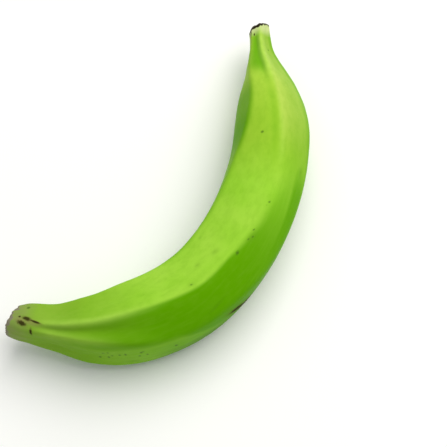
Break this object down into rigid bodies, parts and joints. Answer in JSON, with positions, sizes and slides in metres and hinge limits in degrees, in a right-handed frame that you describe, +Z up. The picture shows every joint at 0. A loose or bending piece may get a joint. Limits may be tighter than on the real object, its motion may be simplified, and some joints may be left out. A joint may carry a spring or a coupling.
{
  "type": "plantain",
  "caption": "Whole unripe green plantain as picked, with a cut stalk, angular curved body, bottle neck and dry blossom scar, lying on its side.",
  "frame": {"origin": "on the surface it rests on, under the middle of the bounding box", "axes": "+X from the stalk cut towards the blossom end, along the line between the two ends; -Y towards the bulging outer side; +Z up from the surface it lies on"},
  "size_m": [0.2468, 0.1002, 0.0477],
  "materials": {
    "green_peel": "fresh unripe peel, smooth with a low waxy sheen; bare dry fibre on the stalk cut and a dark crust on the blossom scar"
  },
  "bodies": {
    "root": {"plantain": "green_peel"}
  },
  "joints": []
}
